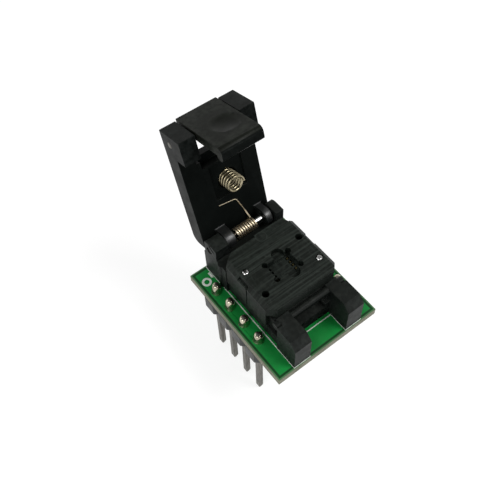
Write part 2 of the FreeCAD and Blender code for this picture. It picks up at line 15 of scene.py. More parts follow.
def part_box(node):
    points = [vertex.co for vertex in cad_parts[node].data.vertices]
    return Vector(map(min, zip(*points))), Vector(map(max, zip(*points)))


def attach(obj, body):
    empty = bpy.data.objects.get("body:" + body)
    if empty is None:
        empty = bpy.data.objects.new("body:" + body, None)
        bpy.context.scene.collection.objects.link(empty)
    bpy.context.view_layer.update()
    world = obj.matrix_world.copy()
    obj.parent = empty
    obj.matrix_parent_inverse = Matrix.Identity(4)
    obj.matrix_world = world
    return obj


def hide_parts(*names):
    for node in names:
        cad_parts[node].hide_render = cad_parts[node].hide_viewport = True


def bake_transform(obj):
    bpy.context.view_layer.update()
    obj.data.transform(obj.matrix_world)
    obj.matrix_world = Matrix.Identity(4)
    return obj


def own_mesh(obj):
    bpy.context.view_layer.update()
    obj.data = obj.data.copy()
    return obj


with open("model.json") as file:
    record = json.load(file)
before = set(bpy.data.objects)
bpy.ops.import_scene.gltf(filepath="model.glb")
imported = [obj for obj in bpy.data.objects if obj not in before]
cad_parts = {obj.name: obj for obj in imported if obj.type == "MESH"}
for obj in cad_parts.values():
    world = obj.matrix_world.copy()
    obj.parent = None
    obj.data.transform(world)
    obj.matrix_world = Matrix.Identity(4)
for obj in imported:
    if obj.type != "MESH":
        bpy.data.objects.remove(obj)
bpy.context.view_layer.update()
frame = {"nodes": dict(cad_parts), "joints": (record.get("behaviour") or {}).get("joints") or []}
MM = 0.001
TURN = 2 * math.pi
Triple = tuple[float, float, float]
Colour = Triple
Span = tuple[float, float]
Socket = bpy.types.NodeSocket
Material = bpy.types.Material
Piece = bpy.types.Object
Face = bpy.types.MeshPolygon
RISE: Span = (0.0, 1.0)
FALL: Span = (1.0, 0.0)

logging.basicConfig(level=logging.INFO, format="%(name)s: %(message)s")
log = logging.getLogger("adapter")


class Body(Enum):
    """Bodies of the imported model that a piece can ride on."""

    BASE = "base"
    PLATE = "plate"
    LID = "lid"
    LATCH = "latch"


class Slot(Enum):
    """Material slots of the record."""

    MASK = "solder_mask"
    PLASTIC = "black_plastic"
    STRIP = "strip_plastic"
    TIN = "pin_tin"
    SOLDER = "solder"
    STEEL = "steel"
    SPRING = "spring_steel"


class Tree:
    """A node tree being written, with short calls for the nodes that repeat."""

    def __init__(self, tree: bpy.types.NodeTree) -> None:
        """Keep the tree that the calls write to."""
        self.tree = tree

    def feed(self, value: object, socket: Socket) -> None:
        """Link a socket to an input, or give the input a constant.

        Args:
            value: the socket or the constant.
            socket: the input.
        """
        if isinstance(value, Socket):
            self.tree.links.new(value, socket)
        else:
            socket.default_value = (*value, 1.0) if socket.type == "RGBA" else value

    def add(self, kind: str, inputs: dict[str | int, object] | None = None, **settings: object) -> bpy.types.Node:
        """Add a node.

        Args:
            kind: the node's type name.
            inputs: a socket or a constant for each input, by name or place.
            settings: properties of the node, by name.

        Returns:
            The new node.
        """
        node = self.tree.nodes.new(kind)
        for name, value in settings.items():
            setattr(node, name, value)
        for name, value in (inputs or {}).items():
            self.feed(value, node.inputs[name])
        return node

    def maths(self, operation: str, first: object, second: object = 0.0, clamp: bool = False) -> Socket:
        """Result of a Math node on two sockets or numbers, kept between 0 and 1 if clamped."""
        return self.add("ShaderNodeMath", {0: first, 1: second}, operation=operation, use_clamp=clamp).outputs[0]

    def times(self, first: object, second: object) -> Socket:
        """Product of two sockets or numbers."""
        return self.maths("MULTIPLY", first, second)

    def mix(self, factor: Socket, low: object, high: object) -> Socket:
        """Colour mixed by a factor, from the low one where it is 0 to the high one where it is 1."""
        return self.add("ShaderNodeMix", {"Factor": factor, 6: low, 7: high}, data_type="RGBA").outputs[2]

    def span(self, value: Socket, ends: Span, to: Span = RISE) -> Socket:
        """Value's span mapped to another, and clamped at its ends."""
        return self.add("ShaderNodeMapRange", {"Value": value, "From Min": ends[0], "From Max": ends[1],
                                               "To Min": to[0], "To Max": to[1]}).outputs["Result"]

    def band(self, value: Socket, middle: float, fade: Span) -> Socket:
        """Mask round a middle value: 1 up to the fade's first distance, and 0 from its second."""
        return self.span(self.maths("ABSOLUTE", self.maths("SUBTRACT", value, middle)), fade, FALL)

    def noise(self, place: Socket, scale: object, detail: float) -> Socket:
        """Noise texture at the given coordinates."""
        return self.add("ShaderNodeTexNoise", {"Vector": place, "Scale": scale, "Detail": detail}).outputs["Fac"]

    def axis(self, vector: Socket, name: str) -> Socket:
        """One axis of a vector."""
        return self.add("ShaderNodeSeparateXYZ", {0: vector}).outputs[name]

    def upward(self) -> Socket:
        """How far a face looks up, 1 for straight up."""
        return self.axis(self.add("ShaderNodeNewGeometry").outputs["Normal"], "Z")

    def millimetres(self) -> Socket:
        """Object coordinates in millimetres."""
        place = self.add("ShaderNodeTexCoord").outputs["Object"]
        return self.add("ShaderNodeVectorMath", {0: place, "Scale": 1 / MM}, operation="SCALE").outputs["Vector"]

    def mapped(self, scale: Triple, shift: Triple = (0.0, 0.0, 0.0)) -> Socket:
        """Object coordinates in millimetres, stretched and then shifted."""
        return self.add("ShaderNodeMapping", {"Vector": self.millimetres(), "Location": shift,
                                              "Scale": scale}).outputs["Vector"]


class ShaderGroups:
    """Node groups that several finishes share. Each is built once."""

    fine_detail = 3.0
    patch_scale, patch_detail, patch_span = 0.55, 2.0, (0.35, 0.68)
    speck_scale, speck_span, speck_share = 2.6, (0.02, 0.09), 0.5
    haze_scale, haze_detail, haze_span, haze_share = 1.7, 5.0, (0.48, 0.8), 0.6
    film = 0.3
    level_span, level_dust = (0.2, 0.9), (0.1, 1.0)
    edge_span = (0.52, 0.6)
    break_scale, break_detail, break_span = 2.4, 4.0, (0.35, 0.6)

    def __init__(self) -> None:
        """Build the groups."""
        self.grain = self.build_grain()
        self.dust = self.build_dust()
        self.edge_wear_and_highlight = self.build_edge_wear_and_highlight()

    @staticmethod
    def start(name: str, inputs: dict[str, float], outputs: tuple[str, ...]) -> tuple[Tree, object, object]:
        """Start a group.

        Args:
            name: the group's name.
            inputs: default value of each input, by name.
            outputs: name of each output.

        Returns:
            The tree, its input node's outputs and its output node's inputs.
        """
        group = bpy.data.node_groups.new(name, "ShaderNodeTree")
        for title, value in inputs.items():
            socket = group.interface.new_socket(title, in_out="INPUT", socket_type="NodeSocketFloat")
            socket.default_value = value
        for title in outputs:
            group.interface.new_socket(title, in_out="OUTPUT", socket_type="NodeSocketFloat")
        tree = Tree(group)
        return tree, tree.add("NodeGroupInput").outputs, tree.add("NodeGroupOutput").inputs

    def build_grain(self) -> bpy.types.NodeTree:
        """Fine moulded grain: a height for bump and a soft patchy shade.

        Returns:
            The group.
        """
        tree, entry, leave = self.start("moulded_grain", {"Fineness": 9.0, "Patchiness": 0.5}, ("Height", "Patches"))
        place = tree.millimetres()
        tree.feed(tree.noise(place, entry["Fineness"], self.fine_detail), leave["Height"])
        patches = tree.span(tree.noise(place, self.patch_scale, self.patch_detail), self.patch_span)
        tree.feed(tree.times(patches, entry["Patchiness"]), leave["Patches"])
        return tree.tree

    def build_dust(self) -> bpy.types.NodeTree:
        """Light dust in specks and smears, mostly on faces that look up.

        Returns:
            The group.
        """
        tree, entry, leave = self.start("settled_dust", {"Amount": 0.3}, ("Mask",))
        place = tree.millimetres()
        specks = tree.add("ShaderNodeTexVoronoi", {"Vector": place, "Scale": self.speck_scale}).outputs["Distance"]
        dots = tree.times(tree.span(specks, self.speck_span, FALL), self.speck_share)
        smears = tree.span(tree.noise(place, self.haze_scale, self.haze_detail), self.haze_span)
        film = tree.maths("ADD", tree.times(smears, self.haze_share), self.film)
        both = tree.maths("ADD", dots, film, clamp=True)
        settled = tree.times(both, tree.span(tree.upward(), self.level_span, self.level_dust))
        tree.feed(tree.times(settled, entry["Amount"]), leave["Mask"])
        return tree.tree

    def build_edge_wear_and_highlight(self) -> bpy.types.NodeTree:
        """Paler edges, partly worn and partly a painted edge highlight, broken up by noise.

        Returns:
            The group.
        """
        tree, entry, leave = self.start("worn_edges_painted_highlight", {"Amount": 0.5}, ("Mask",))
        edge = tree.span(tree.add("ShaderNodeNewGeometry").outputs["Pointiness"], self.edge_span)
        patch = tree.span(tree.noise(tree.millimetres(), self.break_scale, self.break_detail), self.break_span)
        tree.feed(tree.times(tree.times(edge, patch), entry["Amount"]), leave["Mask"])
        return tree.tree


class Surface(Tree):
    """A material's tree, with its Principled node and the shared groups at hand."""

    def __init__(self, material: Material, groups: ShaderGroups) -> None:
        """Find the material's shader and keep the groups.

        Args:
            material: the material.
            groups: the shared shader groups.
        """
        super().__init__(material.node_tree)
        self.shader = material.node_tree.nodes["Principled BSDF"]
        self.groups = groups

    def dress(self, inputs: dict[str, object]) -> None:
        """Give the shader's own inputs a socket or a constant each."""
        for name, value in inputs.items():
            self.feed(value, self.shader.inputs[name])

    def group(self, group: bpy.types.NodeTree, **values: float) -> bpy.types.bpy_prop_collection:
        """Outputs of a shared group that is placed here, with its inputs set by name."""
        return self.add("ShaderNodeGroup", values, node_tree=group).outputs

    def bump(self, height: Socket, depth: float) -> None:
        """Feed a height to the surface's normal, with its size in millimetres."""
        bump = self.add("ShaderNodeBump", {"Distance": depth * MM, "Strength": 1.0, "Height": height})
        self.feed(bump.outputs["Normal"], self.shader.inputs["Normal"])


@dataclass(frozen=True)
class Finish:
    """A finish of the adapter. Each kind of finish paints its own surface."""

    name: str
    colour: Colour

    def build(self, groups: ShaderGroups) -> Material:
        """Make the material.

        Args:
            groups: the shared shader groups.

        Returns:
            The finished material.
        """
        material = bpy.data.materials.new(self.name)
        material.use_nodes = True
        self.paint(Surface(material, groups))
        return material

    def paint(self, surface: Surface) -> None:
        """Write the nodes of the surface."""
        raise NotImplementedError(self.name)


@dataclass(frozen=True)
class PlasticFinish(Finish):
    """Moulded plastic: grain, patchy sheen, paler edges that are partly worn and partly a painted highlight, and a
    little dust.

    The rim highlight, if given, is painted along a round or oval rim on the top: its centre's x and y, and its
    half-widths, in millimetres.
    """

    roughness: float = 0.5
    sheen_spread: float = 0.1
    sheen_patches: Span = (0.0, 0.6)
    specular: float = 0.5
    fineness: float = 9.0
    patchiness: float = 0.6
    patch_lift: float = 1.5
    grain_depth: float = 0.006
    pale: float = 3.2
    pale_lift: float = 0.01
    edge_wear_and_highlight: float = 0.5
    dust: float = 0.3
    dust_colour: Colour = (0.085, 0.092, 0.078)
    ridge_pitch: float = 0.0
    ridge_depth: float = 0.0
    ridge_stretch: float = 0.14
    ridge_detail: float = 2.5
    ridge_span: Span = (0.44, 0.66)
    ridge_share: float = 0.8
    ridge_level: Span = (0.5, 0.9)
    ridge_reach: Span = (0.15, 1.0)
    rim_highlight: tuple[float, float, float, float] | None = None
    rim_highlight_width: float = 0.08
    rim_highlight_fade: Span = (0.5, 1.6)
    rim_highlight_strength: float = 0.7

    def paint(self, surface: Surface) -> None:
        """Write the nodes.

        Args:
            surface: the material's tree.
        """
        groups = surface.groups
        grain = surface.group(groups.grain, Fineness=self.fineness, Patchiness=self.patchiness)
        dust = surface.group(groups.dust, Amount=self.dust)
        edge_wear_and_highlight = surface.group(groups.edge_wear_and_highlight, Amount=self.edge_wear_and_highlight)
        lifted = tuple(channel * self.patch_lift for channel in self.colour)
        # Paler colour for worn edges and ridges, and for the painted edge and rim highlights.
        worn = tuple(min(channel * self.pale + self.pale_lift, 1.0) for channel in self.colour)
        body = surface.mix(grain["Patches"], self.colour, lifted)
        height = grain["Height"]
        if self.ridge_pitch:
            ridges = self.ridges(surface)
            body = surface.mix(surface.times(ridges, self.ridge_share), body, worn)
            raised = surface.times(ridges, self.ridge_depth / self.grain_depth)
            height = surface.maths("ADD", raised, height)
        # Painted highlight: a pale ring along a rim on the top.
        if self.rim_highlight:
            body = surface.mix(surface.times(self.rim_highlight_mask(surface), self.rim_highlight_strength), body, worn)
        # Paler edges: partly wear, partly painted edge highlight.
        worn_and_highlit = surface.mix(edge_wear_and_highlight["Mask"], body, worn)
        half = self.sheen_spread / 2
        surface.dress({
            "Base Color": surface.mix(dust["Mask"], worn_and_highlit, self.dust_colour),
            "Roughness": surface.span(grain["Patches"], self.sheen_patches,
                                      (self.roughness + half, self.roughness - half)),
            "Specular IOR Level": self.specular,
        })
        surface.bump(height, self.grain_depth)

    def rim_highlight_mask(self, surface: Surface) -> Socket:
        """Mask of the painted highlight along the rim.

        Args:
            surface: the material's tree.

        Returns:
            The mask's socket.
        """
        across, along, wide, deep = self.rim_highlight
        place = surface.mapped((1 / wide, 1 / deep, 0.0), (-across / wide, -along / deep, 0.0))
        reach = surface.add("ShaderNodeVectorMath", {0: place}, operation="LENGTH").outputs["Value"]
        half = self.rim_highlight_width / (wide + deep)
        return surface.band(reach, 1.0, (half * self.rim_highlight_fade[0], half * self.rim_highlight_fade[1]))

    def ridges(self, surface: Surface) -> Socket:
        """Fine tooling ridges that run along X, uneven in height and reach.

        Args:
            surface: the material's tree.

        Returns:
            The ridges' socket.
        """
        place = surface.mapped((self.ridge_stretch, 1 / self.ridge_pitch, self.ridge_stretch))
        lines = surface.span(surface.noise(place, 1.0, self.ridge_detail), self.ridge_span)
        return surface.times(lines, surface.span(surface.upward(), self.ridge_level, self.ridge_reach))


@dataclass(frozen=True)
class MetalFinish(Finish):
    """Plated or drawn metal: tint patches, fine draw lines and small dents.

    The coil shade span, if given, is the part of a rod along X, between two ends in millimetres, that is painted dark
    as the shade of the coil round it.
    """

    shade: Colour
    roughness: float = 0.3
    line_stretch: Triple = (6.0, 6.0, 0.4)
    line_depth: float = 0.004
    coil_shade_span: Span | None = None
    coil_shade_colour: Colour = (0.02, 0.017, 0.013)
    coil_shade_fade: float = 0.05
    line_scale: float = 1.5
    line_detail: float = 4.0
    line_span: Span = (0.35, 0.7)
    gloss_spread: Span = (0.8, 1.3)

    def paint(self, surface: Surface) -> None:
        """Write the nodes.

        Args:
            surface: the material's tree.
        """
        grain = surface.group(surface.groups.grain, Fineness=4.0, Patchiness=1.0)
        lines = surface.noise(surface.mapped(self.line_stretch), self.line_scale, self.line_detail)
        streaks = surface.span(lines, self.line_span)
        mottled = surface.times(surface.maths("ADD", grain["Patches"], streaks), 0.5)
        tint = surface.mix(mottled, self.colour, self.shade)
        # Painted shade: the rod is darkened where the torsion coil wraps it.
        if self.coil_shade_span:
            middle, half = sum(self.coil_shade_span) / 2, (self.coil_shade_span[1] - self.coil_shade_span[0]) / 2
            coil_shade = surface.band(surface.axis(surface.millimetres(), "X"), middle,
                               (half - self.coil_shade_fade, half + self.coil_shade_fade))
            tint = surface.mix(coil_shade, tint, self.coil_shade_colour)
        dull, bright = (self.roughness * share for share in self.gloss_spread)
        surface.dress({"Base Color": tint, "Roughness": surface.span(streaks, RISE, (dull, bright)), "Metallic": 1.0})
        surface.bump(lines, self.line_depth)


@dataclass(frozen=True)
class MaskFinish(Finish):
    """Green solder mask: glossy lacquer with an etched line just inside the board's edge.

    The board is given by half its width and length and by the y of its middle, in millimetres.
    """

    deep: Colour
    half_size: Span
    centre_y: float
    groove: Colour = (0.0006, 0.030, 0.006)
    groove_share: float = 0.92
    groove_width: float = 0.17
    rim: Colour = (0.10, 0.17, 0.09)
    rim_share: Span = (0.85, 0.0)
    rim_fade: Span = (0.35, 0.75)
    margin: float = 0.3
    dust: float = 0.05
    dust_colour: Colour = (0.2, 0.24, 0.2)
    grain_share: float = 0.4
    depth: float = 0.012

    def paint(self, surface: Surface) -> None:
        """Write the nodes.

        Args:
            surface: the material's tree.
        """
        grain = surface.group(surface.groups.grain, Fineness=5.0, Patchiness=0.8)
        dust = surface.group(surface.groups.dust, Amount=self.dust)
        place = surface.millimetres()
        across = surface.maths("ABSOLUTE", surface.axis(place, "X"))
        along = surface.maths("ABSOLUTE", surface.maths("SUBTRACT", surface.axis(place, "Y"), self.centre_y))
        inset = surface.maths("MINIMUM", surface.maths("SUBTRACT", self.half_size[0], across),
                              surface.maths("SUBTRACT", self.half_size[1], along))
        groove = surface.band(inset, self.margin, (self.groove_width / 2, self.groove_width))
        outside = surface.span(inset, tuple(self.margin * share for share in self.rim_fade), self.rim_share)
        body = surface.mix(outside, surface.mix(grain["Patches"], self.colour, self.deep), self.rim)
        lined = surface.mix(surface.times(groove, self.groove_share), body, self.groove)
        surface.dress({"Base Color": surface.mix(dust["Mask"], lined, self.dust_colour), "Roughness": 0.3,
                       "Specular IOR Level": 0.35})
        grained = surface.times(grain["Height"], self.grain_share)
        surface.bump(surface.maths("SUBTRACT", grained, groove), self.depth)


@dataclass(frozen=True)
class LaminateFinish(Finish):
    """Cut edge of glass laminate: pale, with thin layers and rough fibres."""

    layer: Colour
    layer_stretch: Triple = (0.8, 0.8, 9.0)
    layer_detail: float = 2.0
    layer_span: Span = (0.4, 0.62)
    depth: float = 0.02

    def paint(self, surface: Surface) -> None:
        """Write the nodes.

        Args:
            surface: the material's tree.
        """
        grain = surface.group(surface.groups.grain, Fineness=11.0, Patchiness=1.0)
        layers = surface.noise(surface.mapped(self.layer_stretch), 1.0, self.layer_detail)
        bands = surface.span(layers, self.layer_span)
        mixed = surface.times(surface.maths("ADD", bands, grain["Patches"]), 0.5)
        surface.dress({"Base Color": surface.mix(mixed, self.colour, self.layer), "Roughness": 0.75})
        surface.bump(grain["Height"], self.depth)


@dataclass(frozen=True)
class InkFinish(Finish):
    """White printed ink, a little thin in places."""

    thin: Colour
    thin_span: Span = (0.5, 0.75)
    depth: float = 0.004

    def paint(self, surface: Surface) -> None:
        """Write the nodes.

        Args:
            surface: the material's tree.
        """
        grain = surface.group(surface.groups.grain, Fineness=7.0, Patchiness=1.0)
        worn = surface.span(grain["Height"], self.thin_span)
        surface.dress({"Base Color": surface.mix(worn, self.colour, self.thin), "Roughness": 0.6})
        surface.bump(grain["Height"], self.depth)


class Finishes:
    """Every finish of the adapter, built once."""

    def __init__(self, board: "BoardSizes") -> None:
        """Build the materials.

        Args:
            board: the board's sizes, for its etched edge line.
        """
        groups = ShaderGroups()
        self.base = PlasticFinish("base_plastic", (0.0032, 0.0044, 0.0038), specular=0.13, dust=0.18).build(groups)
        # Knuckle rounds: a copy of the lid plastic, glossy from rubbing and paler as a painted highlight.
        self.knuckle = PlasticFinish("rubbed_knuckle_painted_highlight", (0.004, 0.005, 0.005), 0.42, sheen_spread=0.08, specular=1.0,
                                     dust=0.1, grain_depth=0.002).build(groups)
        # The plate's pale ring is a painted highlight on a shallow raised arc near its back.
        self.plate = PlasticFinish("plate_plastic", (0.0031, 0.0045, 0.0035), specular=0.115, ridge_pitch=0.2,
                                   ridge_depth=0.014, dust=0.15, rim_highlight=(0.45, 3.3, 0.6, 0.6), pale=5.0).build(groups)
        self.lid = PlasticFinish("lid_plastic", (0.0018, 0.0026, 0.0022), specular=0.09, dust=0.10).build(groups)
        # The latch's pale oval is a painted highlight round its finger dent.
        self.latch = PlasticFinish("latch_plastic", (0.0031, 0.0039, 0.0026), 0.42, specular=0.09, dust=0.06,
                                   grain_depth=0.003, rim_highlight=(0.32, 8.32, 1.45, 1.93), rim_highlight_width=0.5,
                                   rim_highlight_strength=0.16, pale=4.0).build(groups)
        # Matt, barely reflective copy of the plastic for recessed and inward-looking faces: painted shade.
        self.inner = PlasticFinish("matt_plastic_painted_shade", (0.0026, 0.0034, 0.0031), 0.75, specular=0.02, dust=0.1,
                                   fineness=6.0).build(groups)
        self.strip = PlasticFinish("strip_plastic", (0.009, 0.010, 0.0095), 0.4, specular=0.25,
                                   dust=0.15).build(groups)
        self.tin = MetalFinish("dull_tin", (0.14, 0.131, 0.112), (0.07, 0.066, 0.057), 0.42).build(groups)
        # Dark steel for the hinge rod's end faces: painted shade.
        self.shaded_end = MetalFinish("steel_end_painted_shade", (0.035, 0.034, 0.032), (0.018, 0.018, 0.017), 0.6).build(groups)
        self.solder = MetalFinish("bright_solder", (0.66, 0.61, 0.48), (0.20, 0.18, 0.13), 0.2,
                                  (1.0, 1.0, 1.0), 0.02).build(groups)
        self.steel = MetalFinish("pin_steel", (0.78, 0.78, 0.76), (0.55, 0.55, 0.54), 0.18,
                                 (0.4, 6.0, 6.0), 0.002).build(groups)
        # The rod is painted dark where the torsion coil wraps it, as the coil's shade.
        self.rod = MetalFinish("steel_rod_painted_coil_shade", (0.86, 0.86, 0.84), (0.66, 0.66, 0.64), 0.18,
                               (0.4, 6.0, 6.0), 0.002, coil_shade_span=(-1.9, 1.62)).build(groups)
        self.spring = MetalFinish("coil_wire", (0.86, 0.76, 0.57), (0.56, 0.46, 0.31), 0.36,
                                  (3.0, 3.0, 3.0), 0.001).build(groups)
        # Lid coil wire: a warm tint, darkened as painted shade of the pusher's bore.
        self.brassy_and_shaded = MetalFinish("lid_coil_wire_painted_shade", (0.46, 0.41, 0.28), (0.17, 0.14, 0.08), 0.26,
                                  (3.0, 3.0, 3.0)).build(groups)
        self.gold = MetalFinish("contact_gold", (0.055, 0.046, 0.020), (0.032, 0.027, 0.013), 0.45,
                                (3.0, 3.0, 3.0)).build(groups)
        half = (board.width / 2, board.length / 2)
        self.mask = MaskFinish("green_mask", (0.004, 0.245, 0.040), (0.002, 0.185, 0.028), half,
                               board.centre_y).build(groups)
        self.trace = MaskFinish("trace_mask", (0.002, 0.10, 0.018), (0.001, 0.06, 0.010), half,
                                board.centre_y).build(groups)
        self.laminate = LaminateFinish("laminate_edge", (0.215, 0.215, 0.157), (0.107, 0.107, 0.07)).build(groups)
        self.ink = InkFinish("white_ink", (0.72, 0.755, 0.70), (0.34, 0.45, 0.34)).build(groups)


def add_object(name: str, data: bpy.types.ID) -> Piece:
    """Put a mesh, curve, lamp or camera in the scene as an object at the origin.

    Args:
        name: the object's name.
        data: what it holds, already in place.

    Returns:
        The new object.
    """
    thing = bpy.data.objects.new(name, data)
    bpy.context.scene.collection.objects.link(thing)
    return thing


def mesh_from(work: bmesh.types.BMesh, name: str) -> bpy.types.Mesh:
    """Turn a worked mesh into a finished one whose faces point outwards.

    Args:
        work: the worked mesh, which is freed.
        name: the new mesh's name.

    Returns:
        The finished mesh.
    """
    bmesh.ops.recalc_face_normals(work, faces=work.faces)
    mesh = bpy.data.meshes.new(name)
    work.to_mesh(mesh)
    work.free()
    return mesh


def skin_rings(work: bmesh.types.BMesh, rings: list[list[bmesh.types.BMVert]], capped: bool = True) -> None:
    """Join rings of vertices by faces.

    Args:
        work: the mesh that holds them.
        rings: the rings in order, each with as many vertices.
        capped: whether the two ends are closed.
    """
    sides = len(rings[0])
    for first, last in zip(rings[:-1], rings[1:]):
        for k in range(sides):
            work.faces.new((first[k], first[(k + 1) % sides], last[(k + 1) % sides], last[k]))
    if capped:
        work.faces.new(rings[0])
        work.faces.new(rings[-1][::-1])


def settle(piece: Piece) -> Piece:
    """Turn a piece's modifiers into plain mesh and remove them.

    Args:
        piece: an object with modifiers.

    Returns:
        The object with a plain mesh, which is a new one if the piece was a curve.
    """
    graph = bpy.context.evaluated_depsgraph_get()
    result = bpy.data.meshes.new_from_object(piece.evaluated_get(graph), preserve_all_data_layers=True,
                                             depsgraph=graph)
    if piece.type == "MESH":
        piece.modifiers.clear()
        piece.data = result
        return piece
    name = piece.name
    bpy.data.objects.remove(piece)
    return add_object(name, result)


def frame_joint(name: str) -> dict:
    """Joint of the frame, by its name."""
    return next(joint for joint in frame["joints"] if joint["name"] == name)


def dress_faces(piece: Piece, materials: tuple[Material, ...],
                choose: Callable[[Face], int]) -> None:
    """Give each face of a piece one of several materials.

    Args:
        piece: the piece.
        materials: the materials.
        choose: place in materials of a face's own.
    """
    piece.data.materials.clear()
    for material in materials:
        piece.data.materials.append(material)
    for face in piece.data.polygons:
        face.material_index = int(choose(face))


def finish_piece(piece: Piece, body: Body, material: Material | None = None,
                 stands_for: tuple[str, ...] = ()) -> None:
    """Dress a piece, tie it to its body and report it.

    Args:
        piece: the piece.
        body: the body that it moves with.
        material: its material, unless it has its own already.
        stands_for: CAD nodes that it replaces.
    """
    if material is not None:
        piece.data.materials.clear()
        piece.data.materials.append(material)
    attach(piece, body.value)
    if stands_for:
        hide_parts(*stands_for)
    log.info("%s: %d faces on %s", piece.name, len(piece.data.polygons), body.value)


def softened_copy(node: str, name: str, edge: float, segments: int = 2, angle: float = 22) -> Piece:
    """Copy a CAD node with its triangles merged into flat faces and its edges rounded.

    Args:
        node: the CAD node.
        name: the new piece's name.
        edge: the rounding's width in millimetres.
        segments: steps across the rounding.
        angle: the smallest bend in degrees that counts as an edge.

    Returns:
        The new piece.
    """
    same_place, same_plane, flat_weight = 0.0002, 0.6, 90
    work = bmesh.new()
    work.from_mesh(frame["nodes"][node].data)
    bmesh.ops.remove_doubles(work, verts=work.verts, dist=same_place * MM)
    bmesh.ops.dissolve_limit(work, angle_limit=math.radians(same_plane), verts=work.verts, edges=work.edges)
    mesh = mesh_from(work, name)
    mesh.shade_smooth()
    piece = add_object(name, mesh)
    rounding = piece.modifiers.new("edges", "BEVEL")
    rounding.width = edge * MM
    rounding.segments = segments
    rounding.limit_method = "ANGLE"
    rounding.angle_limit = math.radians(angle)
    piece.modifiers.new("flat_faces", "WEIGHTED_NORMAL").weight = flat_weight
    return settle(piece)


class ShapeTree(Tree):
    """A Geometry Nodes tree with named inputs, baked onto a piece."""

    wire_sides = 12
    coil_steps = 40

    def __init__(self, name: str, inputs: dict[str, tuple[str, object]]) -> None:
        """Start the tree.

        Args:
            name: the tree's name.
            inputs: kind and default value of each input, by name.
        """
        group = bpy.data.node_groups.new(name, "GeometryNodeTree")
        kinds = {"Geometry": ("Geometry", None), **inputs, "Material": ("Material", None)}
        for title, (kind, value) in kinds.items():
            socket = group.interface.new_socket(title, in_out="INPUT", socket_type=f"NodeSocket{kind}")
            if value is not None:
                socket.default_value = value
        group.interface.new_socket("Geometry", in_out="OUTPUT", socket_type="NodeSocketGeometry")
        super().__init__(group)
        self.entry = self.add("NodeGroupInput").outputs
        self.leave = self.add("NodeGroupOutput").inputs

    def sweep(self, route: Socket) -> Socket:
        """Round wire along a route, as thick as the tree's Wire input says.

        Args:
            route: the route's curve.

        Returns:
            The wire's geometry.
        """
        ring = self.add("GeometryNodeCurvePrimitiveCircle", {"Resolution": self.wire_sides,
                                                             "Radius": self.entry["Wire"]})
        return self.add("GeometryNodeCurveToMesh", {"Curve": route, "Profile Curve": ring.outputs[0],
                                                    "Fill Caps": True}).outputs[0]

    def close(self, shape: Socket) -> None:
        """End the tree in Realize Instances, smooth shading and Set Material.

        Args:
            shape: the last geometry socket.
        """
        real = self.add("GeometryNodeRealizeInstances", {0: shape})
        shade = self.add("GeometryNodeSetShadeSmooth", {"Geometry": real.outputs[0], "Shade Smooth": True})
        dress = self.add("GeometryNodeSetMaterial", {"Geometry": shade.outputs[0], "Material": self.entry["Material"]})
        self.feed(dress.outputs[0], self.leave["Geometry"])

    def bake(self, piece: Piece, values: dict[str, object]) -> Piece:
        """Run the tree on a piece and keep the result as its mesh.

        Args:
            piece: the object that feeds the tree.
            values: the tree's inputs, by name.

        Returns:
            The piece with its plain mesh.
        """
        modifier = piece.modifiers.new("shape", "NODES")
        modifier.node_group = self.tree
        for item in self.tree.interface.items_tree:
            if item.item_type == "SOCKET" and item.in_out == "INPUT" and item.name in values:
                modifier[item.identifier] = values[item.name]
        piece.update_tag()
        return settle(piece)


def coil_tree() -> ShapeTree:
    """Tree of a round-wire compression spring: a spiral swept by a circle, then turned and placed.

    Returns:
        The tree.
    """
    tree = ShapeTree("compression_spring", {
        "Turns": ("Float", 4.0), "Radius": ("Float", 0.001), "Length": ("Float", 0.002), "Wire": ("Float", 0.0001),
        "Start": ("Vector", (0.0, 0.0, 0.0)), "Turn": ("Rotation", None)})
    entry = tree.entry
    spiral = tree.add("GeometryNodeCurveSpiral", {
        "Resolution": tree.coil_steps, "Rotations": entry["Turns"], "Start Radius": entry["Radius"],
        "End Radius": entry["Radius"], "Height": entry["Length"]})
    place = tree.add("GeometryNodeTransform", {
        "Geometry": tree.sweep(spiral.outputs[0]), "Translation": entry["Start"], "Rotation": entry["Turn"]})
    tree.close(place.outputs[0])
    return tree


def wire_tree() -> ShapeTree:
    """Tree of a round wire that follows the curve it is given.

    Returns:
        The tree.
    """
    tree = ShapeTree("bent_wire", {"Wire": ("Float", 0.0001)})
    tree.close(tree.sweep(tree.entry["Geometry"]))
    return tree


def joint_tree() -> ShapeTree:
    """Tree that sets one solder joint on every pin of two rows, each turned and sized a little differently.

    Returns:
        The tree.
    """
    tree = ShapeTree("solder_rows", {
        "Row Spacing": ("Float", 0.011), "Row Length": ("Float", 0.008), "Pins": ("Int", 4),
        "Height": ("Float", 0.013), "Seed": ("Int", 5)})
    entry = tree.entry
    grid = tree.add("GeometryNodeMeshGrid", {"Size X": entry["Row Spacing"], "Size Y": entry["Row Length"],
                                             "Vertices X": 2, "Vertices Y": entry["Pins"]})
    turns = (0.0, 0.0, 0.0), (0.0, 0.0, TURN)
    sizes = (0.95, 0.95, 0.88), (1.05, 1.05, 1.12)
    draws = []
    for low, high in (turns, sizes):
        draw = tree.add("FunctionNodeRandomValue", {"Min": low, "Max": high}, data_type="FLOAT_VECTOR")
        tree.feed(entry["Seed"], next(socket for socket in draw.inputs if socket.name == "Seed"))
        draws.append(draw.outputs["Value"])
    spread = tree.add("GeometryNodeInstanceOnPoints", {
        "Points": grid.outputs["Mesh"], "Instance": entry["Geometry"], "Rotation": draws[0], "Scale": draws[1]})
    lift = tree.add("ShaderNodeCombineXYZ", {"Z": entry["Height"]})
    place = tree.add("GeometryNodeTransform", {"Geometry": spread.outputs[0], "Translation": lift.outputs[0]})
    tree.close(place.outputs[0])
    return tree


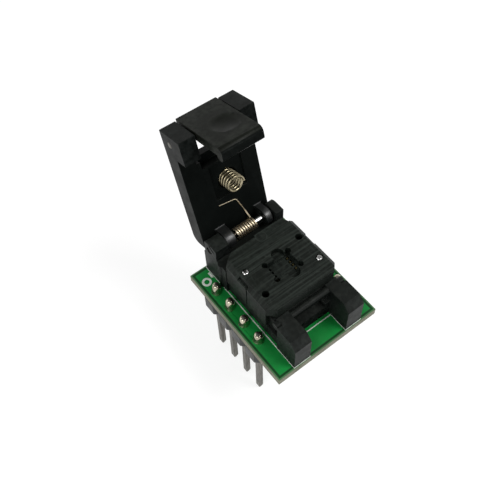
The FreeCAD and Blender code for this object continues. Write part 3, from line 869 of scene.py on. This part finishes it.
def strip_mesh(name: str, lines: list[list[Span]], width: float, low: float, high: float) -> bpy.types.Mesh:
    """Flat raised lines on the board, mitred at their bends.

    Args:
        name: the mesh's name.
        lines: runs of (x, y) points in millimetres, closed where the first point is the last.
        width: the lines' width in millimetres.
        low: height of their underside in millimetres.
        high: height of their top in millimetres.

    Returns:
        The mesh.
    """
    same_place, sharpest = 0.0001, 0.5
    work = bmesh.new()
    for line in lines:
        path = [Vector((x, y, 0.0)) for x, y in line]
        closed = (path[0] - path[-1]).length < same_place
        rings = []
        for k, point in enumerate(path):
            before = path[k - 1] if k else (path[-2] if closed else point)
            after = path[k + 1] if k + 1 < len(path) else (path[1] if closed else point)
            into, away = (point - before).normalized(), (after - point).normalized()
            run = (into + away).normalized()
            side = Vector((-run.y, run.x, 0.0)) * width / 2
            side /= max(run.dot(away if away.length else into), sharpest)
            rings.append([work.verts.new(((point + side * sign).x * MM, (point + side * sign).y * MM, z * MM))
                          for sign, z in ((1, high), (1, low), (-1, low), (-1, high))])
        skin_rings(work, rings, not closed)
    bmesh.ops.remove_doubles(work, verts=work.verts, dist=same_place * MM)
    return mesh_from(work, name)


@dataclass
class BoardSizes:
    """Sizes of the board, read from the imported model, in millimetres."""

    width: float
    length: float
    centre_y: float
    top: float

    @classmethod
    def from_frame(cls) -> "BoardSizes":
        """Read the sizes from the board's box."""
        low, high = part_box("circuit_board")
        return cls((high.x - low.x) / MM, (high.y - low.y) / MM, (high.y + low.y) / 2 / MM, high.z / MM)


@dataclass
class PrintedBoard:
    """Circuit board with its mask, printed outline, traces and solder joints. Sizes are in millimetres."""

    finishes: Finishes
    sizes: BoardSizes
    board_edge: float = 0.05
    level: float = 0.9
    row_spacing: float = 11.16
    pitch: float = 2.54
    pins: int = 4
    print_depth: float = 0.01
    line_width: float = 0.12
    line_height: float = 0.02
    outline_half_width: float = 4.65
    outline_front: float = -8.72
    outline_notch: float = -6.33
    notch_half_width: float = 2.5
    mark_centre: Span = (-5.78, 5.45)
    mark_radius: float = 0.44
    mark_steps: int = 20
    mark_bar: tuple[Span, Span] = ((-4.9, 5.55), (-4.9, 6.35))
    mark_boldness: float = 2.2
    trace_width: float = 0.3
    trace_height: float = 0.012
    trace_start: float = 0.55
    trace_stagger: float = 0.18
    trace_bend: float = 0.35
    trace_end: float = 0.6
    joint_cap: float = 0.03
    joint_neck: float = 0.5
    joint_foot: float = 0.64
    joint_dome: tuple[Span, ...] = ((0.25, 0.0), (0.6, 0.05), (0.84, 0.16))
    joint_flare: tuple[Span, ...] = ((0.0, 0.62), (0.03, 0.45), (0.06, 0.28), (0.09, 0.14))
    joint_rim: tuple[Span, ...] = ((0.0, 0.05), (0.02, -0.02))
    joint_sides: int = 28
    joint_dents: tuple[float, int, int] = (0.03, 3, 4)
    joint_seed: int = 5

    def build(self) -> None:
        """Build every piece of the board."""
        self.build_panel()
        self.build_outline()
        self.build_mark()
        self.build_traces()
        self.build_joints()

    def build_panel(self) -> None:
        """Board with mask on both faces and bare laminate round its edge."""
        panel = softened_copy("circuit_board", "board_panel", self.board_edge, 1)
        dress_faces(panel, (self.finishes.mask, self.finishes.laminate), lambda face: abs(face.normal.z) <= self.level)
        finish_piece(panel, Body.BASE, stands_for=("circuit_board",))

    def build_outline(self) -> None:
        """White outline of the socket, with its notch at the front."""
        w, n, front = self.outline_half_width, self.notch_half_width, self.outline_front
        back = self.sizes.centre_y + self.sizes.length / 2 - self.line_width
        self.build_lines("socket_outline", [[
            (-w, back), (-w, front), (-n, front), (-n, self.outline_notch), (n, self.outline_notch), (n, front),
            (w, front), (w, back)]], self.line_width, self.line_height, self.finishes.ink)

    def build_mark(self) -> None:
        """Plain printed ring with a bar beside it, which marks the back left corner."""
        x, y = self.mark_centre
        turns = [TURN * k / self.mark_steps for k in range(self.mark_steps + 1)]
        ring = [(x + self.mark_radius * math.cos(turn), y + self.mark_radius * math.sin(turn)) for turn in turns]
        self.build_lines("index_mark", [ring, list(self.mark_bar)], self.line_width * self.mark_boldness,
                         self.line_height, self.finishes.ink)

    def build_traces(self) -> None:
        """Copper traces under the mask, from each pin towards the socket."""
        lines = []
        for side in (-1, 1):
            for k in range(self.pins):
                y = (k - (self.pins - 1) / 2) * self.pitch
                x = self.row_spacing / 2
                reach, level = x - self.trace_start - self.trace_stagger * k, y + self.trace_bend
                lines.append([(side * x, y), (side * reach, level), (side * (reach - self.trace_end), level)])
        self.build_lines("mask_traces", lines, self.trace_width, self.trace_height, self.finishes.trace)

    def build_lines(self, name: str, lines: list[list[Span]], width: float, height: float,
                    material: Material) -> None:
        """Build one piece of flat lines on the board.

        Args:
            name: the piece's name.
            lines: runs of (x, y) points in millimetres.
            width: the lines' width in millimetres.
            height: how far they stand up, in millimetres.
            material: their material.
        """
        top = self.sizes.top
        mesh = strip_mesh(name, lines, width, top - self.print_depth, top + height)
        finish_piece(add_object(name, mesh), Body.BASE, material)

    def build_joints(self) -> None:
        """Solder joints, one slightly dented dome set on every pin."""
        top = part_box("header_pin_1")[1].z / MM - self.sizes.top + self.joint_cap
        profile = [(self.joint_neck * share, top - drop) for share, drop in self.joint_dome]
        profile += [(self.joint_neck + flare, top * share) for flare, share in self.joint_flare]
        profile += [(self.joint_foot + flare, height) for flare, height in self.joint_rim]
        dent, waves, twist = self.joint_dents
        work = bmesh.new()
        rings = []
        for radius, height in profile:
            ring = []
            for turn in (TURN * k / self.joint_sides for k in range(self.joint_sides)):
                reach = radius * (1 + dent * math.sin(waves * turn + height * twist))
                ring.append(work.verts.new((reach * math.cos(turn) * MM, reach * math.sin(turn) * MM, height * MM)))
            rings.append(ring)
        skin_rings(work, rings[::-1])
        joints = joint_tree().bake(add_object("solder_cones", mesh_from(work, "solder_joint")), {
            "Row Spacing": self.row_spacing * MM, "Row Length": (self.pins - 1) * self.pitch * MM,
            "Pins": self.pins, "Height": self.sizes.top * MM, "Seed": self.joint_seed,
            "Material": self.finishes.solder})
        finish_piece(joints, Body.BASE, stands_for=("solder_joints",))


@dataclass
class PinRows:
    """Header strips and their square pins."""

    finishes: Finishes
    pins: int = 8
    pin_edge: float = 0.05
    strip_edge: float = 0.07

    def build(self) -> None:
        """Build the strips and pins."""
        for side in ("left", "right"):
            node = f"{side}_header_strip"
            strip = softened_copy(node, f"{side}_strip_moulding", self.strip_edge)
            finish_piece(strip, Body.BASE, self.finishes.strip, (node,))
        for k in range(1, self.pins + 1):
            node = f"header_pin_{k}"
            pin = softened_copy(node, f"tinned_pin_{k}", self.pin_edge)
            finish_piece(pin, Body.BASE, self.finishes.tin, (node,))


@dataclass
class SocketHousing:
    """Base moulding, guide plate, contacts and the small pins in them. Sizes are in millimetres."""

    finishes: Finishes
    base_edge: float = 0.07
    recess_setback: float = 1.0
    forward: float = -0.85
    bar_setback: float = 3.39
    bar_height: float = 3.95
    bar_reach: float = 0.5
    plate_edge: float = 0.06
    pin_edge: float = 0.03
    leads: int = 8
    springs: int = 4
    spring_radius: float = 0.5
    spring_wire: float = 0.14
    spring_turns: float = 3.0

    def build(self) -> None:
        """Build the housing's pieces."""
        base = softened_copy("socket_base", "base_moulding", self.base_edge)
        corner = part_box("socket_base")[0]
        dress_faces(base, (self.finishes.base, self.finishes.inner), lambda face: self.in_recess(face, corner))
        finish_piece(base, Body.BASE, stands_for=("socket_base",))
        plate = softened_copy("guide_plate", "floating_plate", self.plate_edge)
        finish_piece(plate, Body.PLATE, self.finishes.plate, ("guide_plate",))
        for side in ("left", "right"):
            node = f"guide_pin_{side}"
            pin = softened_copy(node, f"polished_{node}", self.pin_edge)
            finish_piece(pin, Body.BASE, self.finishes.steel, (node,))
        for k in range(1, self.leads + 1):
            contact = frame["nodes"][f"contact_{k}"]
            contact.data.materials.clear()
            contact.data.materials.append(self.finishes.gold)
        self.build_springs()

    def in_recess(self, face: Face, corner: Vector) -> bool:
        """Whether a face looks forward from behind the feet's fronts and isn't on the latch bar.

        Args:
            face: a face of the base.
            corner: the low corner of the base's box, in metres.

        Returns:
            True if it is one of the faces that get the dark matt plastic as painted shade.
        """
        back, rise = (face.center.y - corner.y) / MM, (face.center.z - corner.z) / MM
        on_bar = math.hypot(back - self.bar_setback, rise - self.bar_height) < self.bar_reach
        return face.normal.y < self.forward and back > self.recess_setback and not on_bar

    def build_springs(self) -> None:
        """Small springs under the plate, set by their nodes' boxes."""
        coils = coil_tree()
        inset = self.spring_wire / 2 * MM
        for k in range(1, self.springs + 1):
            node = f"plate_spring_{k}"
            low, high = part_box(node)
            start = Vector(((low.x + high.x) / 2, (low.y + high.y) / 2, low.z + inset))
            coil = coils.bake(add_object(f"plate_coil_{k}", bpy.data.meshes.new(node)), {
                "Turns": self.spring_turns, "Radius": self.spring_radius * MM,
                "Length": high.z - low.z - 2 * inset, "Wire": inset, "Start": start,
                "Turn": Euler((0.0, 0.0, 0.0)), "Material": self.finishes.spring})
            finish_piece(coil, Body.BASE, stands_for=(node,))
            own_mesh(coil)


@dataclass
class LidAxes:
    """Directions of the open lid, from its joint."""

    hinge: Vector
    along: Vector
    out: Vector
    lean: float

    @classmethod
    def from_frame(cls) -> "LidAxes":
        """Read the hinge's place and the opening angle.

        Returns:
            The axes.
        """
        joint = frame_joint("lid_hinge")
        lean = math.radians(joint["range_deg"][1])
        along = Vector((0.0, -math.cos(lean), math.sin(lean)))
        out = Vector((0.0, math.sin(lean), math.cos(lean)))
        return cls(Vector(joint["pos_m"]), along, out, lean)

    def point(self, x: float, along: float, rise: float) -> Vector:
        """Place of a point given in the lid's own millimetres."""
        return self.hinge + self.step(x, along, rise)

    def step(self, x: float, along: float, rise: float) -> Vector:
        """Step given in the lid's own millimetres."""
        return Vector((x * MM, 0.0, 0.0)) + self.along * along * MM + self.out * rise * MM


@dataclass
class HingeGroup:
    """Hinge pin and the torsion spring round it. Sizes are in millimetres."""

    finishes: Finishes
    axes: LidAxes
    pin_edge: float = 0.03
    pin_end: float = 0.5
    coil_start: float = -1.18
    coil_radius: float = 0.63
    coil_wire: float = 0.22
    coil_pitch: float = 0.305
    coil_turns: int = 9
    turn_steps: int = 32
    foot_leg: float = 0.5
    leg_root: float = 0.2
    knee_reach: float = 1.2
    knee_lean: float = 0.2
    leg_reach: float = 3.3
    leg_lean: float = 0.95
    leg_rise: float = 0.71
    leg_return: float = 2.2
    leg_return_reach: float = 0.36
    bend_size: float = 1.6
    bend_steps: int = 8

    def build(self) -> None:
        """Build the pin and the spring: its coil is baked in place and its bent leg rides on the lid."""
        pin = softened_copy("hinge_pin", "hinge_rod", self.pin_edge)
        # The rod's end faces get the dark steel as painted shade.
        dress_faces(pin, (self.finishes.rod, self.finishes.shaded_end),
                    lambda face: abs(face.normal.x) > self.pin_end)
        finish_piece(pin, Body.BASE, stands_for=("hinge_pin",))
        coil_points, leg_points = self.routes()
        wires = wire_tree()
        wire = {"Wire": self.coil_wire / 2 * MM, "Material": self.finishes.spring}
        coil = wires.bake(self.route_curve("torsion_coil", coil_points), wire)
        self.axes.point(self.coil_start, 0.0, 0.0)
        self.axes.point(leg_points[0].x / MM, 0.0, 0.0)
        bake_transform(coil)
        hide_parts("torsion_spring")
        log.info("%s: %d faces from base to lid", coil.name, len(coil.data.polygons))
        leg = wires.bake(self.route_curve("torsion_leg", leg_points), wire)
        finish_piece(leg, Body.LID)

    def routes(self) -> tuple[list[Vector], list[Vector]]:
        """Centre lines of the spring, in metres.

        Returns:
            The foot leg with the coil, and the bent leg that lies in the lid.
        """
        first = -TURN / 4
        last = math.atan2(self.axes.out.z, self.axes.out.y) + TURN * self.coil_turns
        steps = self.coil_turns * self.turn_steps
        radius = self.coil_radius * MM
        hinge = self.axes.hinge
        points = [Vector((self.coil_start * MM, hinge.y - self.foot_leg * MM, hinge.z - radius))]
        for k in range(steps + 1):
            turn = first + (last - first) * k / steps
            x = (self.coil_start + self.coil_pitch * (turn - first) / TURN) * MM
            points.append(Vector((x, hinge.y + radius * math.cos(turn), hinge.z + radius * math.sin(turn))))
        root = points[-1]
        knee = root + self.axes.step(-self.knee_lean, self.knee_reach, self.leg_rise)
        bend = root + self.axes.step(-self.leg_lean, self.leg_reach, self.leg_rise)
        end = bend + self.axes.step(-self.leg_return, self.leg_return_reach, 0.0)
        points.append(root.lerp(knee, self.leg_root))
        return points, [points[-1], *self.rounded(root, knee, bend), *self.rounded(knee, bend, end), end]

    def rounded(self, before: Vector, bend: Vector, after: Vector) -> list[Vector]:
        """Points of a bend in the wire.

        Args:
            before: a point on the straight run before it.
            bend: where the two runs meet.
            after: a point on the straight run after it.

        Returns:
            The points, from one run to the other.
        """
        size = self.bend_size * self.coil_wire * MM
        into = (before - bend).normalized() * size
        away = (after - bend).normalized() * size
        shares = [k / self.bend_steps for k in range(self.bend_steps + 1)]
        return [(bend + into * (1 - share)).lerp(bend + away * share, share) for share in shares]

    @staticmethod
    def route_curve(name: str, points: list[Vector]) -> Piece:
        """Put a curve in the scene.

        Args:
            name: its name.
            points: the points that it runs through, in metres.

        Returns:
            The curve's object.
        """
        curve = bpy.data.curves.new(name, "CURVE")
        curve.dimensions = "3D"
        spline = curve.splines.new("POLY")
        spline.points.add(len(points) - 1)
        for slot, point in zip(spline.points, points):
            slot.co = (*point, 1.0)
        return add_object(name, curve)


@dataclass
class LidGroup:
    """Lid moulding, the pusher's spring, the latch and its pin. Sizes are in millimetres."""

    finishes: Finishes
    axes: LidAxes
    lid_edge: float = 0.08
    latch_edge: float = 0.07
    latch_angle: float = 48
    pin_edge: float = 0.03
    inward: float = -0.85
    knuckle_reach: float = 1.85
    knuckle_span: float = 3.6
    knuckle_side: float = 0.3
    spring_x: float = 0.5
    spring_along: float = 6.2
    spring_floor: float = 2.57
    spring_tip: float = -0.28
    spring_radius: float = 0.92
    spring_wire: float = 0.27
    spring_turns: float = 6.0
    spring_pressed: float = 0.44

    def build(self) -> None:
        """Build the lid's pieces."""
        lid = softened_copy("lid", "lid_moulding", self.lid_edge)
        dress_faces(lid, (self.finishes.lid, self.finishes.knuckle, self.finishes.inner),
                    lambda face: 1 if self.on_knuckle(face) else 2 * self.looks_in(face))
        finish_piece(lid, Body.LID, stands_for=("lid",))
        latch = softened_copy("latch", "latch_moulding", self.latch_edge, angle=self.latch_angle)
        dress_faces(latch, (self.finishes.latch, self.finishes.inner), self.looks_in)
        finish_piece(latch, Body.LATCH, stands_for=("latch",))
        pin = softened_copy("latch_pin", "latch_rod", self.pin_edge)
        finish_piece(pin, Body.LID, self.finishes.tin, ("latch_pin",))
        self.build_coil()

    def looks_in(self, face: Face) -> bool:
        """Whether a face looks to the inner side of the lid, where it gets the dark matt plastic as painted shade."""
        return face.normal.dot(self.axes.out) < self.inward

    def on_knuckle(self, face: Face) -> bool:
        """Whether a face lies on the round of a knuckle.

        Args:
            face: a face of the lid.

        Returns:
            True if it is one of the knuckle faces, which get a glossier and paler plastic: glossy from wear, paler as
            a painted highlight.
        """
        away = (face.center - self.axes.hinge) / MM
        near = math.hypot(away.y, away.z) < self.knuckle_reach and abs(away.x) < self.knuckle_span
        return near and abs(face.normal.x) < self.knuckle_side

    def build_coil(self) -> None:
        """Coil that stands out of the pusher's bore."""
        inset = self.spring_wire / 2
        coil = coil_tree().bake(add_object("pusher_coil", bpy.data.meshes.new("pusher_coil")), {
            "Turns": self.spring_turns, "Radius": self.spring_radius * MM,
            "Length": (self.spring_floor - self.spring_tip - 2 * inset) * MM, "Wire": inset * MM,
            "Start": self.axes.point(self.spring_x, self.spring_along, self.spring_tip + inset),
            "Turn": Euler((-self.axes.lean, 0.0, 0.0)), "Material": self.finishes.brassy_and_shaded})
        finish_piece(coil, Body.LID, stands_for=("lid_spring",))
        anchor = self.axes.point(self.spring_x, self.spring_along, self.spring_floor)
        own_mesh(coil)


@dataclass(frozen=True)
class Lamp:
    """Square soft lamp that faces the object: place and side in metres, power in watts."""

    name: str
    place: Triple
    size: float
    power: float
    aim: Triple = (0.0, 0.0, 0.015)

    def build(self) -> None:
        """Hang the lamp."""
        light = bpy.data.lights.new(self.name, "AREA")
        light.size = self.size
        light.energy = self.power
        place = Vector(self.place)
        turn = (Vector(self.aim) - place).to_track_quat("-Z", "Y").to_matrix().to_4x4()
        add_object(self.name, light).matrix_world = Matrix.Translation(place) @ turn


@dataclass
class Studio:
    """White floor, white surroundings and soft lamps."""

    floor_size: float = 1.2
    floor_colour: Colour = (0.86, 0.86, 0.86)
    floor_roughness: float = 0.9
    glow_share: float = 0.62
    glow_level: float = 1.22
    sky_span: Span = (0.05, 0.75)
    sky_levels: Span = (1.0, 0.26)
    lamps: tuple[Lamp, ...] = (
        Lamp("key", (0.123, -0.163, 0.320), 0.12, 0.64),
        Lamp("fill", (-0.28, -0.10, 0.22), 0.20, 0.42),
        Lamp("back", (-0.20, 0.26, 0.20), 0.16, 0.16),
    )

    def build(self) -> None:
        """Build the floor, the world and the lamps."""
        self.build_floor()
        self.build_world()
        for lamp in self.lamps:
            lamp.build()
        bpy.context.scene.view_settings.view_transform = "Standard"

    def build_floor(self) -> None:
        """Pale floor that the camera sees as near white, with the object's shadow kept."""
        half = self.floor_size / 2
        mesh = bpy.data.meshes.new("studio_floor")
        mesh.from_pydata([(-half, -half, 0), (half, -half, 0), (half, half, 0), (-half, half, 0)], [], [(0, 1, 2, 3)])
        floor = add_object("studio_floor", mesh)
        material = bpy.data.materials.new("studio_floor")
        material.use_nodes = True
        tree = Tree(material.node_tree)
        surface = material.node_tree.nodes["Principled BSDF"]
        for name, value in (("Base Color", self.floor_colour), ("Roughness", self.floor_roughness),
                            ("Specular IOR Level", 0.0)):
            tree.feed(value, surface.inputs[name])
        glow = tree.add("ShaderNodeEmission", {"Strength": self.glow_level})
        share = tree.times(self.seen(tree), self.glow_share)
        choose = tree.add("ShaderNodeMixShader", {"Fac": share, 1: surface.outputs[0], 2: glow.outputs[0]})
        tree.feed(choose.outputs[0], material.node_tree.nodes["Material Output"].inputs["Surface"])
        floor.data.materials.append(material)

    @staticmethod
    def seen(tree: Tree) -> Socket:
        """Mask of the rays from the camera, a reflection or a glass.

        Args:
            tree: the floor's tree.

        Returns:
            The mask's socket.
        """
        light = tree.add("ShaderNodeLightPath").outputs
        mirrored = tree.maths("MAXIMUM", light["Is Glossy Ray"], light["Is Transmission Ray"])
        return tree.maths("MAXIMUM", light["Is Camera Ray"], mirrored)

    def build_world(self) -> None:
        """World that is white round the horizon and dimmer overhead, as in a room with a pale table."""
        world = bpy.data.worlds.new("studio")
        bpy.context.scene.world = world
        world.use_nodes = True
        tree = Tree(world.node_tree)
        height = tree.axis(tree.add("ShaderNodeTexCoord").outputs["Generated"], "Z")
        sky = world.node_tree.nodes["Background"].inputs
        tree.feed((1.0, 1.0, 1.0), sky["Color"])
        tree.feed(tree.span(height, self.sky_span, self.sky_levels), sky["Strength"])


@dataclass
class PhotoCamera:
    """Camera at the photograph's angle, found from the board, pins and lid. The depth is in millimetres."""

    azimuth: float = -35.48
    elevation: float = 56.15
    roll: float = -2.43
    depth: float = 73.14
    focal_pixels: float = 652.42
    frame_pixels: float = 500.0
    target_pixel: Span = (281.04, 292.15)
    sensor: float = 36.0
    clip: Span = (0.001, 10.0)

    def build(self, target: Vector) -> None:
        """Place the camera.

        Args:
            target: the point seen at target_pixel, in metres.
        """
        turn, rise, roll = (math.radians(v) for v in (self.azimuth, self.elevation, self.roll))
        back = Vector((math.sin(turn) * math.cos(rise), -math.cos(turn) * math.cos(rise), math.sin(rise)))
        level = Vector((math.cos(turn), math.sin(turn), 0.0))
        upright = back.cross(level)
        right = level * math.cos(roll) + upright * math.sin(roll)
        up = upright * math.cos(roll) - level * math.sin(roll)
        half = self.frame_pixels / 2
        across, down = ((pixel - half) / self.focal_pixels * self.depth * MM for pixel in self.target_pixel)
        eye = target - right * across + up * down + back * self.depth * MM
        lens = bpy.data.cameras.new("photo_camera")
        lens.sensor_width = self.sensor
        lens.lens = self.focal_pixels / self.frame_pixels * self.sensor
        lens.clip_start, lens.clip_end = self.clip
        holder = add_object("photo_camera", lens)
        holder.matrix_world = Matrix.Translation(eye) @ Matrix((right, up, back)).transposed().to_4x4()
        bpy.context.scene.camera = holder


def main() -> None:
    """Build the adapter, the studio and the camera."""
    board = BoardSizes.from_frame()
    finishes = Finishes(board)
    axes = LidAxes.from_frame()
    for group in (PrintedBoard(finishes, board), PinRows(finishes), SocketHousing(finishes),
                  HingeGroup(finishes, axes), LidGroup(finishes, axes), Studio()):
        group.build()
    PhotoCamera().build(Vector((0.0, board.centre_y * MM, board.top * MM)))


if __name__ == "__main__":
    main()
